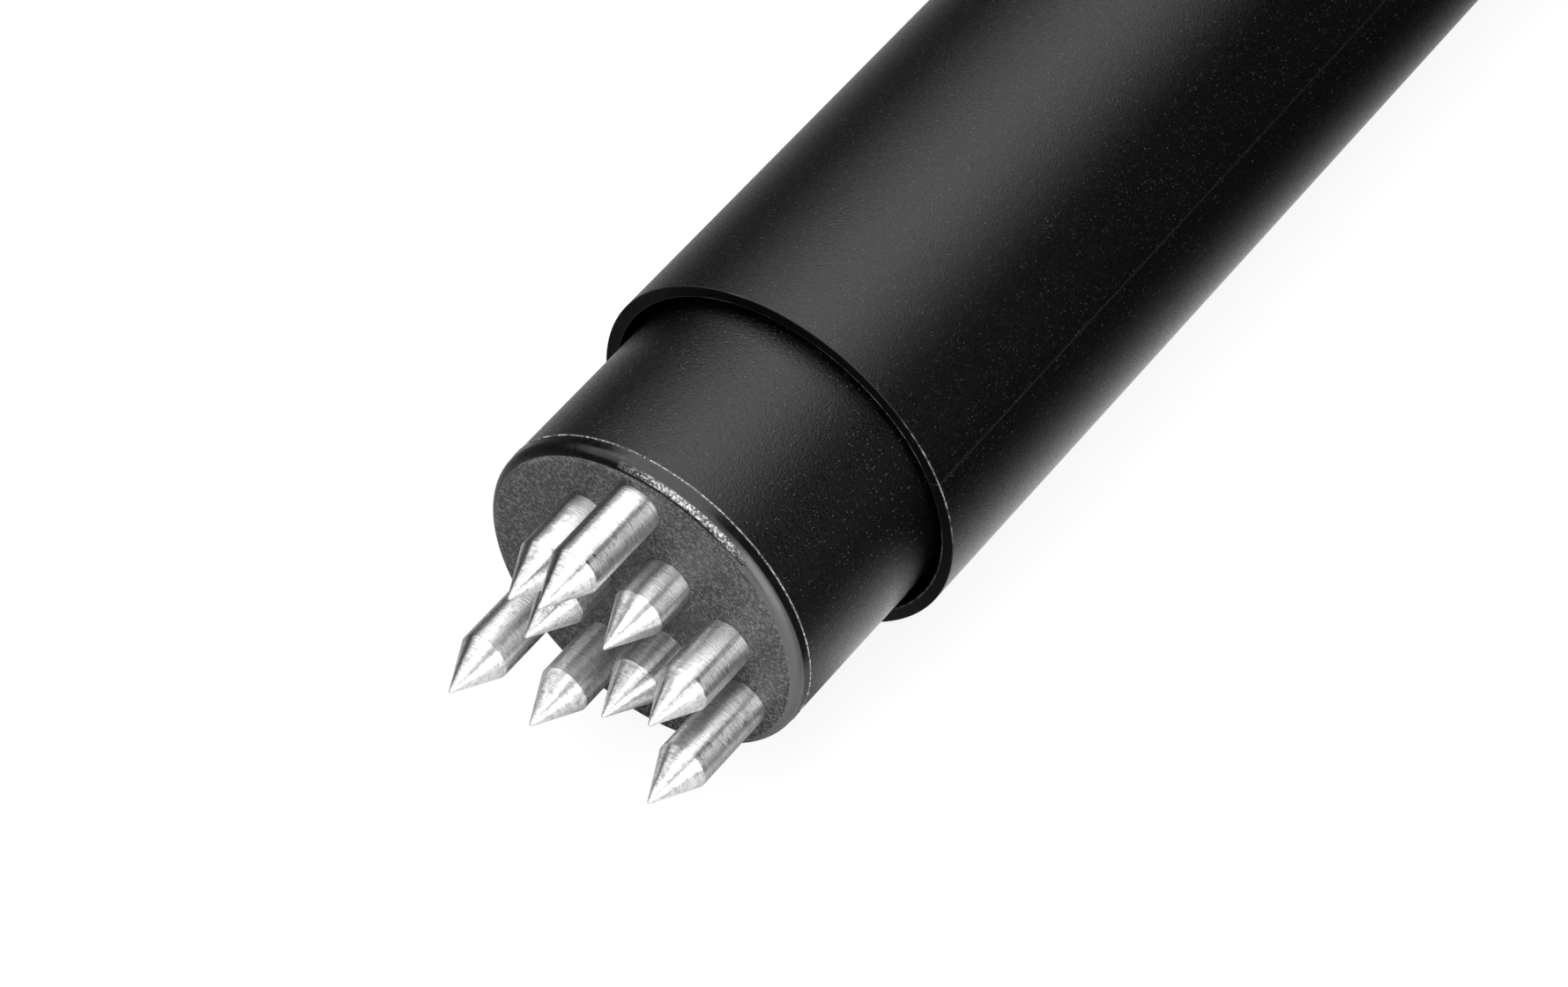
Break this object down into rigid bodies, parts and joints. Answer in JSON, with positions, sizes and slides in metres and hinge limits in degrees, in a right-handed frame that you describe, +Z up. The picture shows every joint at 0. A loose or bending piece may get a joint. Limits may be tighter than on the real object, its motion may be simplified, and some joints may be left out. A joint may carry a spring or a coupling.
{
  "type": "hand cranked nutmeg grater",
  "caption": "Tubular nutmeg grater with a sprung, spiked plunger turned by a hand crank, its grating head and catch lid drawn off in line.",
  "frame": {"origin": "centre of the barrel's mouth, on the barrel's axis", "axes": "+Y along the barrel from its mouth to the crank, +Z up from the table it lies on, +X towards the crank's knob"},
  "size_m": [0.0656, 0.2599, 0.03],
  "materials": {
    "barrel_plastic": "black moulded plastic, satin with a fine grain",
    "plunger_plastic": "black moulded plastic with a leathery grain",
    "disc_ring_plastic": "black moulded plastic, plain",
    "knob_plastic": "black plastic, half gloss",
    "spike_steel": "bright turned steel with fine turning rings",
    "spindle_steel": "bright drawn steel bar",
    "arm_steel": "stainless strip, brushed lengthways",
    "screw_steel": "plain stainless steel",
    "spring_steel": "drawn spring wire",
    "sleeve_steel": "thin stainless sleeve, brushed round",
    "disc_steel": "stainless sheet with punched burrs",
    "nut_chrome": "polished, plated",
    "bush_brass": "turned brass",
    "washer_nylon": "natural nylon",
    "seal_rubber": "soft black rubber ring"
  },
  "bodies": {
    "housing": {"barrel": "barrel_plastic", "end_cap": "barrel_plastic", "shaft_bush": "bush_brass", "thrust_washer": "washer_nylon", "cap_screw_1": "screw_steel", "cap_screw_2": "screw_steel", "cap_screw_3": "screw_steel"},
    "drive": {"spindle": "spindle_steel", "stop_washer": "screw_steel", "stop_screw": "screw_steel", "retaining_clip": "screw_steel", "spring_washer": "screw_steel", "return_spring": "spring_steel", "crank_arm": "arm_steel", "arm_washer": "screw_steel", "crank_nut": "nut_chrome", "knob_pin": "spindle_steel", "knob_washer": "washer_nylon"},
    "knob": {"knob_grip": "knob_plastic"},
    "plunger": {"plunger_cup": "plunger_plastic", "plunger_hub": "plunger_plastic", "hub_screw_1": "screw_steel", "hub_screw_2": "screw_steel", "hub_screw_3": "screw_steel", "outer_spike_1": "spike_steel", "outer_spike_2": "spike_steel", "outer_spike_3": "spike_steel", "middle_spike_1": "spike_steel", "middle_spike_2": "spike_steel", "middle_spike_3": "spike_steel", "inner_spike_1": "spike_steel", "inner_spike_2": "spike_steel", "inner_spike_3": "spike_steel"},
    "head": {"head_shell": "barrel_plastic", "head_sleeve": "sleeve_steel", "grating_disc": "disc_steel", "disc_ring": "disc_ring_plastic"},
    "lid": {"lid": "barrel_plastic", "lid_ring": "seal_rubber"}
  },
  "joints": [
    {"name": "crank_spin", "type": "hinge", "parent": "housing", "child": "drive", "pos_m": [0, 0, 0], "axis": [0, 1, 0], "continuous": true},
    {"name": "plunger_slide", "type": "slide", "parent": "drive", "child": "plunger", "axis": [0, 1, 0], "range_m": [0, 0.02], "stiffness_N_per_m": 300, "springref_m": -0.015, "deforming": ["return_spring"]},
    {"name": "knob_spin", "type": "hinge", "parent": "drive", "child": "knob", "pos_m": [0.04157, 0.11744, -0.006], "axis": [0, 1, 0], "continuous": true},
    {"name": "head_slide", "type": "slide", "parent": "housing", "child": "head", "axis": [0, 1, 0], "range_m": [0, 0.084]},
    {"name": "lid_pull", "type": "slide", "parent": "head", "child": "lid", "axis": [0, -1, 0], "range_m": [0, 0.025]}
  ]
}
